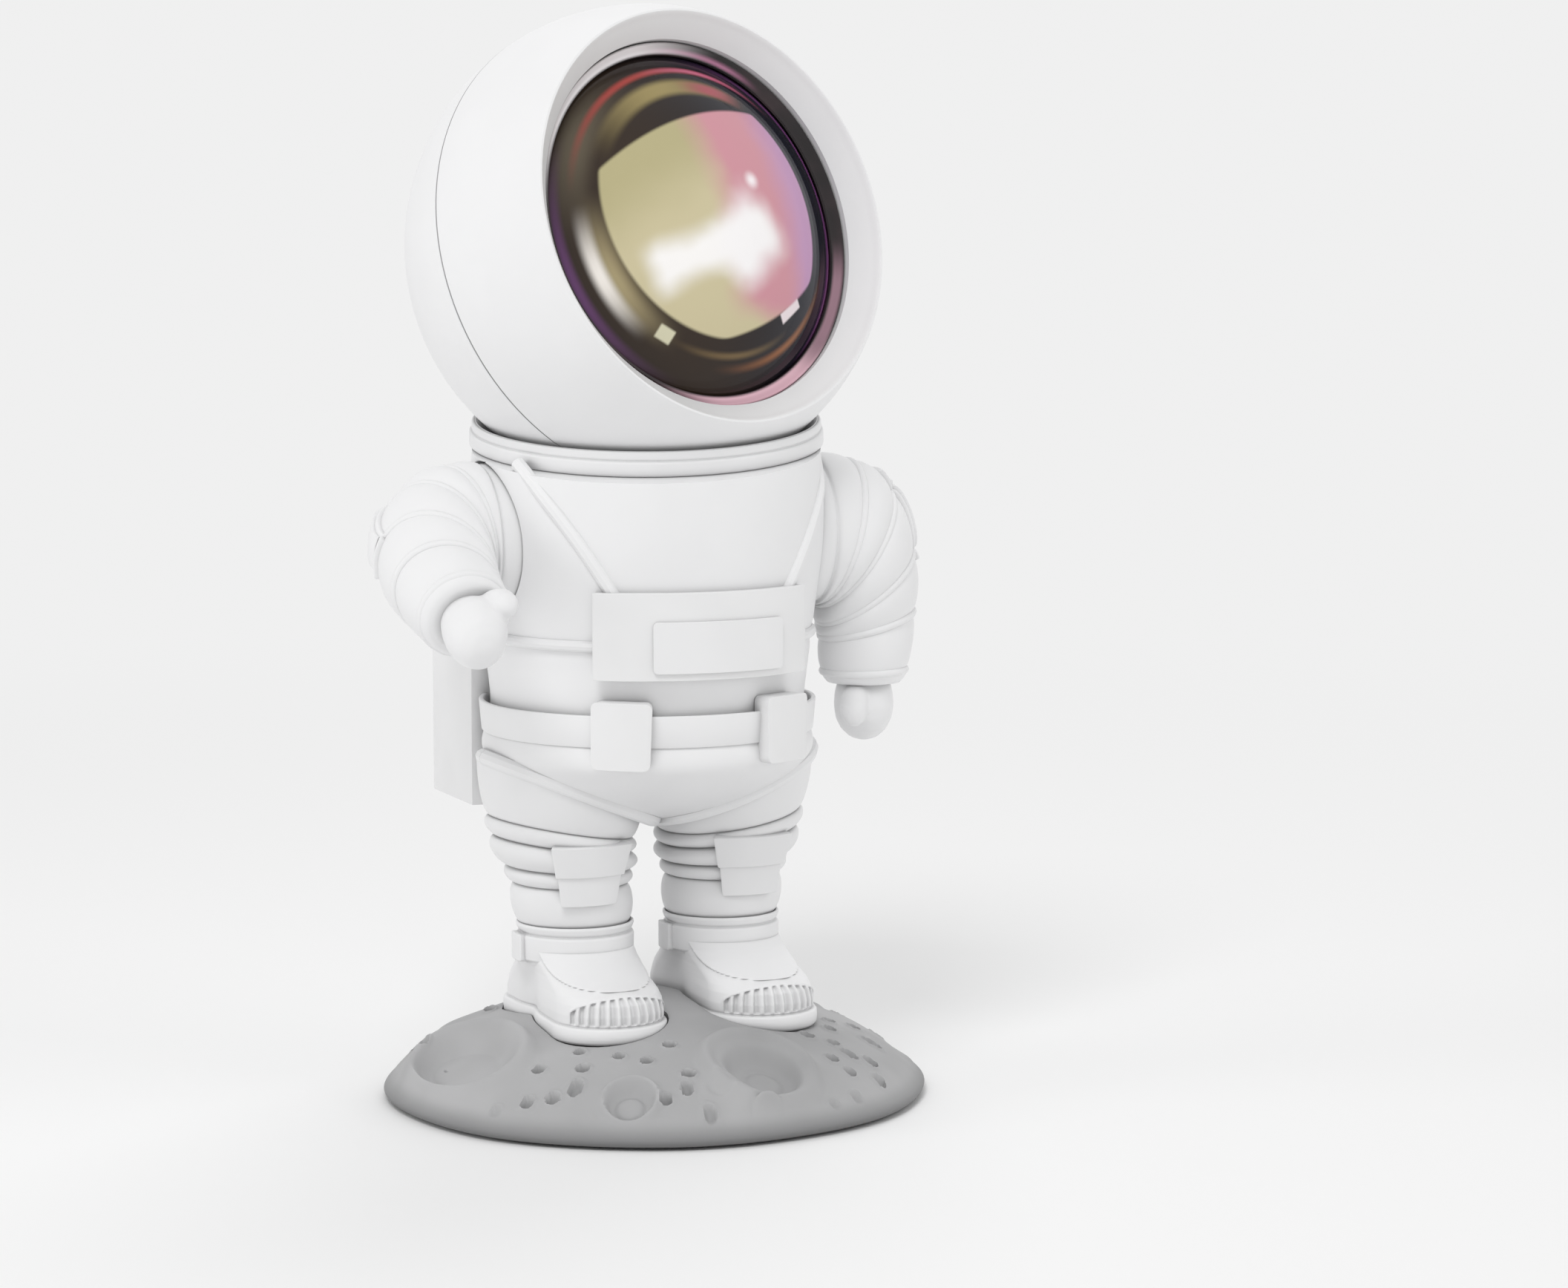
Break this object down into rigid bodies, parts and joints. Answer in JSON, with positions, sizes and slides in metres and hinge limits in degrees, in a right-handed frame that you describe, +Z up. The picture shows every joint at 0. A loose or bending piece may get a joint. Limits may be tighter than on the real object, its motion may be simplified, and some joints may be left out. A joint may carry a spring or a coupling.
{
  "type": "sunset projection lamp",
  "caption": "Astronaut figure table lamp: round helmet with a coated projection lens turns and tilts on a magnetic neck, arms swing, and the figure lifts off a cratered base.",
  "frame": {"origin": "middle of the base's footprint, on the surface it stands on", "axes": "+Z up, the figure faces -Y and its left side is +X"},
  "size_m": [0.1228, 0.116, 0.228],
  "materials": {
    "moon_grey": "matte, cratered",
    "white_shell": "satin white",
    "grey_plastic": "satin",
    "rubber_pad": "matte",
    "steel": "plated",
    "black_gloss": "glossy black",
    "black_matte": "matte black",
    "coated_glass": "polished, warm violet coating",
    "orange_glass": "polished",
    "alloy": "satin",
    "circuit_green": "solder mask",
    "emitter_yellow": "silicone dome"
  },
  "bodies": {
    "base": {"moon_base": "moon_grey", "base_cover": "grey_plastic", "foot_pads": "rubber_pad", "base_screws": "steel"},
    "figure": {"right_boot": "white_shell", "left_boot": "white_shell", "right_leg": "white_shell", "left_leg": "white_shell", "torso_front_shell": "white_shell", "torso_back_shell": "white_shell", "collar_ring": "white_shell", "belt": "white_shell", "belt_pouch_right": "white_shell", "belt_pouch_left": "white_shell", "chest_panel": "white_shell", "chest_plate": "white_shell", "backpack": "white_shell", "backpack_lid": "white_shell"},
    "neck": {"neck_cup": "grey_plastic", "neck_magnet": "steel"},
    "right_arm_swing": {"right_arm": "white_shell", "right_arm_clip": "grey_plastic"},
    "left_arm_swing": {"left_arm": "white_shell", "left_arm_clip": "grey_plastic"},
    "head": {"helmet_front_shell": "white_shell", "helmet_rear_shell": "white_shell", "lens_bezel": "black_gloss", "projection_lens": "coated_glass", "light_tube": "black_matte", "color_filter": "orange_glass", "lens_screws": "steel", "led_board": "alloy", "led_emitter": "emitter_yellow", "heat_sink": "alloy", "driver_board": "circuit_green", "power_switch": "black_matte", "power_socket": "steel", "neck_keeper": "steel"},
    "button": {"power_button": "grey_plastic"}
  },
  "joints": [
    {"name": "figure_lift", "type": "slide", "parent": "base", "child": "figure", "axis": [0, 0, 1], "range_m": [0, 0.03]},
    {"name": "neck_turn", "type": "hinge", "parent": "figure", "child": "neck", "pos_m": [0, 0.003, 0.12], "axis": [0, 0, 1], "continuous": true},
    {"name": "head_tilt", "type": "hinge", "parent": "neck", "child": "head", "pos_m": [0, 0.003, 0.178], "axis": [-0.9563, -0.2924, 0], "range_deg": [-15, 10]},
    {"name": "right_shoulder", "type": "hinge", "parent": "figure", "child": "right_arm_swing", "pos_m": [-0.0372, 0.003, 0.118], "axis": [-1, 0, 0], "range_deg": [-75, 60]},
    {"name": "left_shoulder", "type": "hinge", "parent": "figure", "child": "left_arm_swing", "pos_m": [0.0372, 0.003, 0.118], "axis": [-1, 0, 0], "range_deg": [-15, 120]},
    {"name": "power_press", "type": "slide", "parent": "head", "child": "button", "axis": [0.2808, -0.9183, 0.279], "range_m": [0, 0.001], "stiffness_N_per_m": 800, "springref_m": -0.001}
  ]
}
